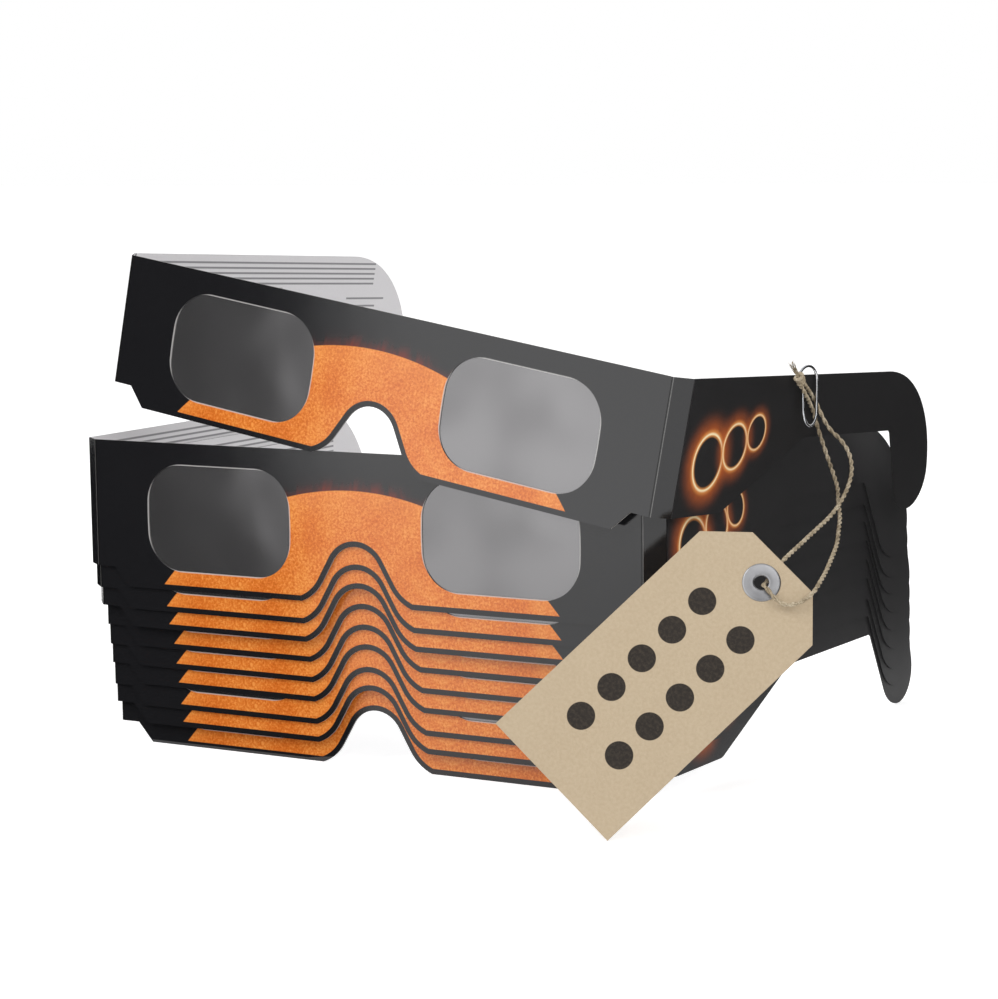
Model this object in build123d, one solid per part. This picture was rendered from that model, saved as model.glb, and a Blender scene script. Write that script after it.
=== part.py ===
"""A set of ten card eclipse glasses, nested in a stack, with a kraft tag on twine.

Millimetres, +Z up. Each pair is two printed plies with a film filter sealed between them behind
each window. The outer ply carries a hinge strip on each side, between two scores, and the temples
turn on the outer scores. Nine pairs nest: each lies behind and below the one before, and its
hinge strips are folded further back, so that its temples fit inside the last ones. The tenth
pair lies tilted across the top of the stack and carries a paper clip with the tag's twine.

Each pair is built about the middle of its own top front edge and then moved to its place.
"""

from build123d import *
import math
import os

# Card and film
PLY = 0.25                  # one ply of printed card
FILM = 0.04                 # solar film
FOLD_GAP = 0.05             # free play of a fold, and of the temples in the nest

# Front
FACE_HALF = 72.0            # middle of the nose to the inner score
HINGE_STRIP = 5.0           # between the inner and outer scores
TOP_STRIP_FOLD = 58.0       # degrees the top pair's hinge strips are folded back
NEST_STRIP_FOLD = 37.0      # the same for the outermost nested pair
SIDE_HEIGHT = 29.75         # card height at the scores
FACE_HEIGHT = 34.25         # card height over the cheeks
LEDGE_WIDTH = 4.85          # flat of the bottom edge beside the inner score
LEDGE_SLOPE = 4.0           # run of the slanted edge from the ledge down to the cheek
BACK_INSET = 1.0            # inner ply ends short of the inner score
SCORE_WIDTH = 0.36          # groove pressed along the inner score
SCORE_DEPTH = 0.10

# Nose notch
NOTCH_HALF = 14.6           # at the bottom edge
NOTCH_TOP = 21.1            # top edge of the card to the top of the notch
NOTCH_RADIUS = 7.0          # round top
NOTCH_LEAN = 30.5           # slant of the notch's straight sides, degrees from upright
NOTCH_FLARE = 4.65          # height of the curved flare above the bottom edge

# Windows and filters
WINDOW_PLACE = 37.2         # middle of the nose to a window's middle
WINDOW_HALF = 19.7          # half width at mid height
WINDOW_BOW = 0.9            # how far the short sides bow outwards
WINDOW_TOP = 5.1            # top edge of the card to a window
WINDOW_HEIGHT = 24.6
WINDOW_RADIUS = 8.6
FILTER_MARGIN = 2.6         # film sealed between the plies round a window
FILTER_RADIUS = 2.0

# Temples
ARM_REACH = 124.6           # outer score to the far edge of the ear hook
ARM_HEIGHT = 14.3
CHEEK_LENGTH = 20.8         # full-height stretch beside the outer score
SLOPE_END = 54.5            # outer score to where the slanted edge meets the arm
CROWN_RUN = 30.5            # the top edge starts to round down this far before the hook's end
HEEL_RADIUS = 8.2           # outer rounding of the ear hook, down to its tip
HOOK_WIDTH = 16.7           # the hook's end back to where the tip's inner rounding ends
HOOK_RISE = 4.95            # that point above the tip
SLOPE_ROUND = 6.0           # rounding of the arm's lower corners
CHEEK_ROUND = 4.0
HOOK_ROUND = 1.6
TEMPLE_SPLAY = 1.4          # degrees the temples spread apart towards their hooks

# Nest of nine pairs
NESTED_PAIRS = 9
NEST_DROP = 4.8             # each pair below the one before
DROP_SHARES = (1.10, 0.90, 1.02, 1.0, 0.96, 1.10, 0.90, 1.02)
NEST_AIR = 0.14             # between one pair's inner ply and the next pair's front
NEST_SLIP = 1.0             # further back where a pair lies loose
LOOSE_PAIRS = (5, 10)

# Pair laid across the top of the stack
TOP_TURN = (-2.99, 9.49, -1.37)     # degrees about its own X, Y and Z
TOP_MOVE = (9.45, 0.36, 31.16)

# Paper clip on the top pair's right temple
CLIP_WIRE = 0.65
CLIP_PLACE = 51.2           # outer score to the clip's middle
CLIP_HALF = 3.15            # middle to each leg of the outer loop
CLIP_RISE = 1.95            # top turn above the edge of the card
CLIP_FRONT = 11.0           # depth of the outer loop, on the outside
CLIP_END = 3.1              # depth of the outer loop's free end
CLIP_SPREAD = 12.0          # degrees the outer loop stands out from the card
CLIP_AIR = 0.06             # between wire and card
CLIP_BACK = 8.6             # depth of the inner loop, on the inside
CLIP_BACK_END = 2.2         # depth of the inner loop's free end
CLIP_NEST = 1.5             # inner loop's free leg inside the outer loop's leg
CLIP_TOP_ROUND = 3.2
CLIP_FRONT_ROUND = 3.3
CLIP_BACK_ROUND = 2.5

# Kraft tag
TAG_WIDTH = 33.0
TAG_LENGTH = 65.7
TAG_CORNER = 7.7            # cut off each corner at the eyelet
TAG_CARD = 0.5
EYELET_PLACE = 6.1          # end of the tag to the eyelet's middle
EYELET_HOLE = 1.5           # radius
EYELET_BARREL = 0.4         # wall of the barrel
EYELET_FLANGE = 4.0         # radius on the front
EYELET_BACK = 3.2           # radius on the back
EYELET_METAL = 0.25
TAG_TOP = (102.1, 4.3, -18.7)       # middle of the tag's end, on its front face
TAG_FACING = 28.0           # degrees turned from straight ahead
TAG_LEAN = 20.0             # degrees leant back
TAG_SPIN = -46.7            # degrees turned in its own plane

# Twine: from the knot under the clip, through the eyelet and back
TWINE = 1.0
TWINE_ROUTE = (
    (87.22, 46.51, 13.75),
    (87.33, 48.71, 11.70),
    (85.75, 54.59, 9.14),
    (85.05, 58.17, 6.89),
    (84.94, 60.12, 3.67),
    (85.92, 60.77, 0.26),
    (87.76, 59.60, -3.26),
    (90.45, 56.77, -6.55),
    (93.27, 52.98, -9.34),
    (95.24, 48.37, -11.82),
    (98.09, 43.13, -14.13),
    (100.35, 36.97, -16.30),
    (102.87, 30.44, -18.35),
    (104.94, 22.66, -20.30),
    (106.92, 15.05, -22.09),
    (107.97, 10.22, -23.03),
    (108.99, 5.61, -24.05),
    (108.44, 3.54, -25.36),
    (106.66, 1.64, -26.64),
    (104.65, 0.16, -26.91),
    (102.84, -0.29, -25.98),
    (101.31, 0.01, -24.43),
    (99.71, 0.16, -22.90),
    (98.66, 2.29, -23.54),
    (99.72, 4.10, -21.53),
    (101.24, 6.15, -18.67),
    (100.75, 11.42, -17.78),
    (100.07, 17.93, -16.73),
    (99.24, 27.00, -15.13),
    (98.69, 35.92, -13.41),
    (98.02, 42.83, -11.43),
    (97.18, 48.90, -8.97),
    (96.15, 53.94, -6.08),
    (94.70, 56.97, -3.46),
    (92.85, 58.89, -0.99),
    (90.61, 59.82, 1.07),
    (88.44, 59.91, 2.63),
    (86.86, 59.59, 5.08),
    (85.95, 58.51, 8.02),
    (85.49, 57.12, 10.04),
    (85.68, 55.30, 11.19),
    (86.51, 51.59, 12.64),
    (87.25, 47.78, 14.42),
)
ARC_SHARE = 0.45            # of the shorter run, taken up by each arc
KNOT_LENGTH = 7.6           # knot and frayed ends
KNOT_RADIUS = 1.25
KNOT_AIR = 0.20             # between the knot and the ends of the loop
KNOT_FOOT_SHARE = 0.6       # of the twine's radius, for the slant of its ends
KNOT_TURN = (0.0, -0.72, 0.69)      # which way the frayed ends point
KNOT_SHARES = ((0.0, 0.72), (0.12, 1.0), (0.27, 0.95), (0.38, 0.62), (0.62, 0.92), (0.88, 1.0), (1.0, 0.6))

OVERRUN = 2.0               # cutters pass through by this much

LAMINATE = 2 * PLY + FILM
FOLD_STEP = PLY + FOLD_GAP


def notch_curve():
    """Half of the notch's edge, from the card's bottom edge up to the middle of the notch."""
    lean = math.radians(NOTCH_LEAN)
    centre = -NOTCH_TOP - NOTCH_RADIUS
    top_x = NOTCH_RADIUS * math.cos(lean)
    top_z = centre + NOTCH_RADIUS * math.sin(lean)
    low_z = -FACE_HEIGHT + NOTCH_FLARE
    low_x = top_x + (top_z - low_z) * math.tan(lean)
    half = math.radians((90 + NOTCH_LEAN) / 2)
    middle = (NOTCH_RADIUS * math.cos(half), centre + NOTCH_RADIUS * math.sin(half))
    flare = TangentArc(
        (low_x, low_z), (NOTCH_HALF, -FACE_HEIGHT), tangent=(math.sin(lean), -math.cos(lean))
    )
    side = Line((low_x, low_z), (top_x, top_z))
    crown = ThreePointArc((top_x, top_z), middle, (0, -NOTCH_TOP))
    return Curve() + [flare, side, crown]


def face_outline(half):
    """The front's outline to a given half width, as a face in the XZ plane."""
    ledge = FACE_HALF - LEDGE_WIDTH
    cheek = ledge - LEDGE_SLOPE
    edge = Polyline(
        (0, 0),
        (half, 0),
        (half, -SIDE_HEIGHT),
        (ledge, -SIDE_HEIGHT),
        (cheek, -FACE_HEIGHT),
        (NOTCH_HALF, -FACE_HEIGHT),
    )
    right = Curve() + [edge, *notch_curve().edges()]
    left = mirror(right, about=Plane.YZ)
    return Plane.XZ * make_face([*right.edges(), *left.edges()])


def window_outline(side, margin=0, radius=WINDOW_RADIUS):
    """A window's outline as a face in the XZ plane, wider all round by margin."""
    half = WINDOW_HALF + margin
    top = -WINDOW_TOP + margin
    low = -WINDOW_TOP - WINDOW_HEIGHT - margin
    middle = (top + low) / 2
    corner = half - WINDOW_BOW
    edges = [
        Line((-corner, top), (corner, top)),
        ThreePointArc((corner, top), (half, middle), (corner, low)),
        Line((corner, low), (-corner, low)),
        ThreePointArc((-corner, low), (-half, middle), (-corner, top)),
    ]
    flat = make_face(edges)
    flat = fillet(flat.vertices(), radius)
    return Plane.XZ * Pos(side * WINDOW_PLACE, 0) * flat


def pressed(face, depth, thickness):
    """A flat sheet of a given thickness whose outer side lies at a depth behind the front."""
    return Pos(0, depth, 0) * extrude(face, amount=-thickness)


def hinge_end(angle):
    """Where a hinge strip's outer face ends, for a strip folded back by angle degrees."""
    turn = math.radians(angle)
    return FACE_HALF + HINGE_STRIP * math.cos(turn), HINGE_STRIP * math.sin(turn)


def hinge_strip(angle):
    """The strip of the outer ply beside the right-hand inner score."""
    turn = math.radians(angle)
    end_x, end_y = hinge_end(angle)
    section = Polyline(
        (FACE_HALF, 0),
        (end_x, end_y),
        (end_x - PLY * math.sin(turn), end_y + PLY * math.cos(turn)),
        (FACE_HALF - PLY * math.tan(turn / 2), PLY),
        close=True,
    )
    return extrude(make_face(section), amount=-SIDE_HEIGHT)


def score_groove():
    """Cutter for the groove pressed into the outer face along the right-hand inner score."""
    size = (SCORE_WIDTH, 2 * SCORE_DEPTH, SIDE_HEIGHT + 2 * OVERRUN)
    return Pos(FACE_HALF - SCORE_WIDTH / 2, 0, -SIDE_HEIGHT / 2) * Box(*size)


def front_card(angle):
    """The outer ply: printed front with its two windows, and the hinge strip at each side."""
    card = pressed(face_outline(FACE_HALF), 0, PLY)
    for side in (-1, 1):
        card -= pressed(window_outline(side), -OVERRUN, PLY + 2 * OVERRUN)
    strip = single(hinge_strip(angle) - card)
    groove = score_groove()
    card = card - groove - mirror(groove, about=Plane.YZ)
    return [single(card), strip, mirror(strip, about=Plane.YZ)]


def back_card():
    """The inner ply, glued behind the films, with the same notch and windows."""
    card = pressed(face_outline(FACE_HALF - BACK_INSET), PLY + FILM, PLY)
    for side in (-1, 1):
        card -= pressed(window_outline(side), PLY - OVERRUN, PLY + 2 * OVERRUN)
    return single(card)


def filters():
    """The two film filters between the plies, one behind each window."""
    films = []
    for side in (-1, 1):
        outline = window_outline(side, FILTER_MARGIN, FILTER_RADIUS)
        films.append(pressed(outline, PLY, FILM).solid())
    return films


def temple_outline():
    """A temple's outline with its ear hook, U backwards from the outer score and Z up."""
    tip = ARM_REACH - HEEL_RADIUS
    crown_start = ARM_REACH - CROWN_RUN
    hook = (ARM_REACH - HOOK_WIDTH, HOOK_RISE - FACE_HEIGHT)
    run = tip - crown_start
    depth = FACE_HEIGHT - HEEL_RADIUS
    crown_radius = (run**2 + depth**2 - HEEL_RADIUS**2) / (2 * (depth - HEEL_RADIUS))
    share = HEEL_RADIUS / (crown_radius - HEEL_RADIUS)
    meeting = (tip + share * run, -depth + share * (crown_radius - depth))
    crown = TangentArc((crown_start, 0), meeting, tangent=(1, 0))
    heel = TangentArc((tip, -FACE_HEIGHT), meeting, tangent=(1, 0))
    toe = TangentArc((tip, -FACE_HEIGHT), hook, tangent=(-1, 0))
    throat = toe % 1
    inner = hook[0] - (hook[1] + ARM_HEIGHT) * throat.X / throat.Y
    under = FilletPolyline(
        hook,
        (inner, -ARM_HEIGHT),
        (SLOPE_END, -ARM_HEIGHT),
        (CHEEK_LENGTH, -SIDE_HEIGHT),
        (0, -SIDE_HEIGHT),
        radius=(HOOK_ROUND, SLOPE_ROUND, CHEEK_ROUND),
    )
    ends = Polyline((0, -SIDE_HEIGHT), (0, 0), (crown_start, 0))
    return make_face([crown, heel, toe, *under.edges(), *ends.edges()])


def fold_offset():
    """How far a temple starts behind the end of its hinge strip's outer face."""
    return PLY + PLY / 2 + FOLD_GAP


def temple_place(angle):
    """A right temple's own frame: Y along it from the fold, X out of its outer face."""
    end_x, end_y = hinge_end(angle)
    return Location((end_x - PLY / 2, end_y + fold_offset(), 0), (0, 0, -TEMPLE_SPLAY))


def temple_card(angle):
    """The right temple, folded back at the end of a hinge strip of a given angle."""
    piece = extrude(Plane.YZ * temple_outline(), amount=PLY / 2, both=True)
    return single(temple_place(angle) * piece)


def hinge_place(side, angle):
    """The middle of a temple's fold, where it turns, in its pair's own frame."""
    place = temple_place(angle).position
    return side * place.X, place.Y, -SIDE_HEIGHT / 2


def strip_angles():
    """Fold of the hinge strips for each nested pair, outermost first, in degrees."""
    outer = math.cos(math.radians(NEST_STRIP_FOLD))
    angles = []
    for row in range(NESTED_PAIRS):
        angles.append(math.degrees(math.acos(outer - row * FOLD_STEP / HINGE_STRIP)))
    return angles


def nest_places():
    """Offset of each nested pair back and up from the outermost one."""
    back = 0.0
    up = 0.0
    places = [(back, up)]
    for row, share in enumerate(DROP_SHARES):
        back += LAMINATE + NEST_AIR
        if row + 3 in LOOSE_PAIRS:
            back += NEST_SLIP
        up -= NEST_DROP * share
        places.append((back, up))
    return places


def single(shape):
    """The one solid of a shape that is meant to be one piece."""
    solids = shape.solids()
    if len(solids) != 1:
        raise ValueError(f"expected one solid, found {len(solids)}")
    return solids[0]


def top_place():
    """Where the pair across the top lies."""
    return Location(TOP_MOVE, TOP_TURN)


def pair_settings():
    """Number, place and strip angle of every pair, from the top pair down."""
    settings = [(1, top_place(), TOP_STRIP_FOLD)]
    for row, ((back, up), angle) in enumerate(zip(nest_places(), strip_angles())):
        settings.append((row + 2, Location((0, back, up)), angle))
    return settings


def pair_nodes():
    """Every pair's pieces in the nest's frame, by node name."""
    inner = back_card()
    films = filters()
    nodes = {}
    for number, place, angle in pair_settings():
        name = f"pair_{number:02d}"
        temple = temple_card(angle)
        nodes[f"{name}_front_card"] = [place * solid for solid in front_card(angle)]
        nodes[f"{name}_back_card"] = [place * inner]
        nodes[f"{name}_filters"] = [place * film for film in films]
        nodes[f"{name}_left_temple"] = [place * mirror(temple, about=Plane.YZ)]
        nodes[f"{name}_right_temple"] = [place * temple]
    return nodes


def clip_route():
    """The clip's wire as (across, down, outwards), from the card's top edge on its outer face."""
    wire = CLIP_WIRE / 2
    slope = math.tan(math.radians(CLIP_SPREAD))
    near = wire + CLIP_AIR
    inside = -(PLY + near)
    over = near * math.cos(math.radians(CLIP_SPREAD))
    free = CLIP_HALF - CLIP_NEST
    return [
        (-CLIP_HALF, CLIP_END, near + CLIP_END * slope),
        (-CLIP_HALF, CLIP_FRONT, near + CLIP_FRONT * slope),
        (CLIP_HALF, CLIP_FRONT, near + CLIP_FRONT * slope),
        (CLIP_HALF, -CLIP_RISE, over),
        (-CLIP_HALF, -CLIP_RISE, inside),
        (-CLIP_HALF, CLIP_BACK, inside),
        (free, CLIP_BACK, inside),
        (free, CLIP_BACK_END, inside),
    ]


def clip_rounds():
    """Bend radius at each inner point of the clip's route."""
    turns = (CLIP_FRONT_ROUND, CLIP_TOP_ROUND, CLIP_BACK_ROUND)
    return [radius for radius in turns for _ in range(2)]


def paper_clip():
    """A bent wire clip pushed over the top edge of the top pair's right temple."""
    points = [(PLY / 2 + out, CLIP_PLACE + across, -down) for across, down, out in clip_route()]
    path = FilletPolyline(*points, radius=clip_rounds())
    wire = sweep(Plane(path @ 0, z_dir=path % 0) * Circle(CLIP_WIRE / 2), path=path)
    return top_place() * temple_place(TOP_STRIP_FOLD) * single(wire)


def tag_place():
    """The tag's own frame: X across it, Y along it towards the eyelet, Z out of its front."""
    turn = math.radians(TAG_FACING)
    lean = math.radians(TAG_LEAN)
    spin = math.radians(TAG_SPIN)
    out = Vector(math.sin(turn) * math.cos(lean), -math.cos(turn) * math.cos(lean), math.sin(lean))
    level = Vector(math.cos(turn), math.sin(turn), 0)
    rise = out.cross(level)
    across = level * math.cos(spin) + rise * math.sin(spin)
    return Plane(origin=TAG_TOP, x_dir=across, z_dir=out)


def tag_card():
    """Kraft card with two cut corners and a punched hole."""
    half = TAG_WIDTH / 2
    outline = Polyline(
        (-half, -TAG_LENGTH),
        (half, -TAG_LENGTH),
        (half, -TAG_CORNER),
        (half - TAG_CORNER, 0),
        (-half + TAG_CORNER, 0),
        (-half, -TAG_CORNER),
        close=True,
    )
    card = extrude(make_face(outline), amount=-TAG_CARD)
    hole = Cylinder(EYELET_HOLE + EYELET_BARREL, 2 * TAG_CARD + OVERRUN)
    return single(tag_place() * (card - Pos(0, -EYELET_PLACE, 0) * hole))


def tag_eyelet():
    """Metal eyelet: a barrel through the tag with a flange rolled over on each side."""
    outer = EYELET_HOLE + EYELET_BARREL
    section = Polyline(
        (EYELET_HOLE, EYELET_METAL),
        (EYELET_FLANGE - EYELET_METAL, EYELET_METAL),
        (EYELET_FLANGE, 0),
        (outer, 0),
        (outer, -TAG_CARD),
        (EYELET_BACK, -TAG_CARD),
        (EYELET_BACK - EYELET_METAL, -TAG_CARD - EYELET_METAL),
        (EYELET_HOLE, -TAG_CARD - EYELET_METAL),
        close=True,
    )
    ring = revolve(Plane.XZ * make_face(section), axis=Axis.Z)
    return single(tag_place() * (Pos(0, -EYELET_PLACE, 0) * ring))


def twine_rounds():
    """Bend radius at each inner point of the twine: as large as its two runs allow."""
    points = [Vector(*point) for point in TWINE_ROUTE]
    radii = []
    for before, point, after in zip(points, points[1:], points[2:]):
        run = min((point - before).length, (after - point).length)
        half_turn = math.radians((point - before).get_angle(after - point) / 2)
        radii.append(ARC_SHARE * run / math.tan(half_turn))
    return radii


def tag_twine():
    """One length of twine from the knot down through the eyelet and back up."""
    path = FilletPolyline(*TWINE_ROUTE, radius=twine_rounds())
    tube = sweep(Plane(path @ 0, z_dir=path % 0) * Circle(TWINE / 2), path=path)
    return single(tube)


def twine_knot():
    """The knot of the twine's two ends, with the ends frayed out beyond it."""
    first = Vector(*TWINE_ROUTE[0])
    last = Vector(*TWINE_ROUTE[-1])
    out = Vector(*KNOT_TURN).normalized()
    foot = (first + last) * 0.5 + out * (TWINE / 2 * KNOT_FOOT_SHARE + KNOT_AIR)
    edge = [(KNOT_RADIUS * wide, KNOT_LENGTH * along) for along, wide in KNOT_SHARES]
    section = Polyline((0, 0), *edge, (0, KNOT_LENGTH), close=True)
    bead = revolve(Plane.XZ * make_face(section), axis=Axis.Z)
    return single(Plane(origin=foot, z_dir=out) * bead)


def rest_shift(nodes):
    """The move that puts the middle of the set's foot at the origin."""
    boxes = [solid.bounding_box() for solids in nodes.values() for solid in solids]
    left = min(box.min.X for box in boxes)
    right = max(box.max.X for box in boxes)
    front = min(box.min.Y for box in boxes)
    back = max(box.max.Y for box in boxes)
    foot = min(box.min.Z for box in boxes)
    return Location((-(left + right) / 2, -(front + back) / 2, -foot))


def tag_nodes():
    """The tag, its eyelet and its twine in the nest's frame, by node name."""
    return {
        "tag_card": [tag_card()],
        "tag_eyelet": [tag_eyelet()],
        "tag_twine": [tag_twine()],
        "twine_knot": [twine_knot()],
    }


def save(name, solids):
    """Write one node, a single solid or a group of separate solids."""
    shape = solids[0] if len(solids) == 1 else Compound(solids)
    shape.label = name
    export_step(shape, f"parts/{name}.step")


def main():
    """Build every piece, set the stack on its foot and write one file for each node."""
    os.makedirs("parts", exist_ok=True)
    nodes = pair_nodes()
    nodes["paper_clip"] = [paper_clip()]
    shift = rest_shift(nodes)
    nodes.update(tag_nodes())
    print("moved by", tuple(round(value, 4) for value in shift.position))
    print("twine radii", [round(radius, 1) for radius in twine_rounds()])
    for name, solids in nodes.items():
        save(name, [shift * solid for solid in solids])


if __name__ == "__main__":
    main()
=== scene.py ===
"""Dresses a stack of ten card eclipse glasses, with a kraft tag on twine, for its picture.

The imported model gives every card, film and wire its place. This script adds the print, the
finishes, the twisted twine with its knot, a rolled eyelet, and a small studio.
"""

import logging
import math
import random
from dataclasses import dataclass
from enum import Enum
from typing import Dict, List, Optional, Sequence, Tuple, Union

import bmesh
import bpy
from mathutils import Matrix, Vector, noise


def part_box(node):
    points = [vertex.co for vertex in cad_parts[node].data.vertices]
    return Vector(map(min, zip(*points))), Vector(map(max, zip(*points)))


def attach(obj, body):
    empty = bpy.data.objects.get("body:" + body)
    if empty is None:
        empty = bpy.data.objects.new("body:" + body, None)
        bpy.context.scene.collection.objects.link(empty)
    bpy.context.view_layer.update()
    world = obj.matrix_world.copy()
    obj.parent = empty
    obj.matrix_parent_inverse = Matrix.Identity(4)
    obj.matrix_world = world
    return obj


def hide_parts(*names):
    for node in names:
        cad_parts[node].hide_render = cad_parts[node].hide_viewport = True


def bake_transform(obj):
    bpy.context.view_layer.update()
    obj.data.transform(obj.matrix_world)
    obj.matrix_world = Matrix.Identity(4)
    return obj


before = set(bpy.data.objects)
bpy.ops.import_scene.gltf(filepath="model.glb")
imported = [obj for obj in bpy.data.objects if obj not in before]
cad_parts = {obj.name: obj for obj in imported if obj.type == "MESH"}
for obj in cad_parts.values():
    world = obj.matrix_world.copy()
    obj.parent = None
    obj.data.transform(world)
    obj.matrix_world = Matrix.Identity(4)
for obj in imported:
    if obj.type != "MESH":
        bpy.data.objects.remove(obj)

log = logging.getLogger("eclipse_glasses")

MM = 0.001
PAIR_COUNT = 10
NEST_MOVE = (-4.41221, -66.8308, 72.65)
Colour = Tuple[float, float, float]
Place = Tuple[float, float, float]
Span = Tuple[float, float]
Flat = Tuple[float, float]
Number = Union[float, "Signal"]
Tint = Union[Colour, "Signal"]


@dataclass(frozen=True)
class Grain:
    """Soft noise: its waves per unit of the point it is laid over, and how broken up it is."""

    scale: float
    detail: float = 2.0
    rough: float = 0.5
    warp: float = 0.0


FIBRE = Grain(3.2, 3.0, 0.6)
FIBRE_PEAKS: Span = (0.60, 0.85)
PULP_SPAN: Span = (0.35, 0.75)


def srgb(red: int, green: int, blue: int) -> Colour:
    """A colour read off as 0 to 255 levels, as the shader's linear values."""
    def linear(level: float) -> float:
        share = level / 255
        return share / 12.92 if share <= 0.04045 else ((share + 0.055) / 1.055) ** 2.4

    return linear(red), linear(green), linear(blue)


class Signal:
    """A number running through a shader, written in plain sums."""

    def __init__(self, shader: "Shader", socket: bpy.types.NodeSocket) -> None:
        """Wraps one output socket of the shader's nodes."""
        self.shader = shader
        self.socket = socket

    def _with(self, operation: str, *values: Number, clamp: bool = False) -> "Signal":
        """Adds one Math node over the given values."""
        return self.shader.node(
            "ShaderNodeMath", {"operation": operation, "use_clamp": clamp}, dict(enumerate(values))
        )

    def __add__(self, other: Number) -> "Signal":
        """Sum."""
        return self._with("ADD", self, other)

    __radd__ = __add__

    def __sub__(self, other: Number) -> "Signal":
        """Difference."""
        return self._with("SUBTRACT", self, other)

    def __rsub__(self, other: Number) -> "Signal":
        """Difference, the other way round."""
        return self._with("SUBTRACT", other, self)

    def __mul__(self, other: Number) -> "Signal":
        """Product."""
        return self._with("MULTIPLY", self, other)

    __rmul__ = __mul__

    def __truediv__(self, other: Number) -> "Signal":
        """Quotient."""
        return self._with("DIVIDE", self, other)

    def __neg__(self) -> "Signal":
        """Minus the number."""
        return self._with("MULTIPLY", self, -1.0)

    def __abs__(self) -> "Signal":
        """Its size without the sign."""
        return self._with("ABSOLUTE", self)

    def power(self, exponent: float) -> "Signal":
        """Raised to a fixed power."""
        return self._with("POWER", self, exponent)

    def least(self, other: Number) -> "Signal":
        """The smaller of two."""
        return self._with("MINIMUM", self, other)

    def most(self, other: Number) -> "Signal":
        """The larger of two."""
        return self._with("MAXIMUM", self, other)

    def above(self, edge: Number) -> "Signal":
        """1 where it is over the edge, else 0."""
        return self._with("GREATER_THAN", self, edge)

    def rise(self, low: float, high: float) -> "Signal":
        """A soft step from 0 at low to 1 at high; the other way where high is below low."""
        settings = {"interpolation_type": "SMOOTHSTEP", "clamp": True}
        ends = (low, high, 0.0, 1.0) if low <= high else (high, low, 1.0, 0.0)
        return self.shader.node("ShaderNodeMapRange", settings, dict(enumerate((self, *ends))))


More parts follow.
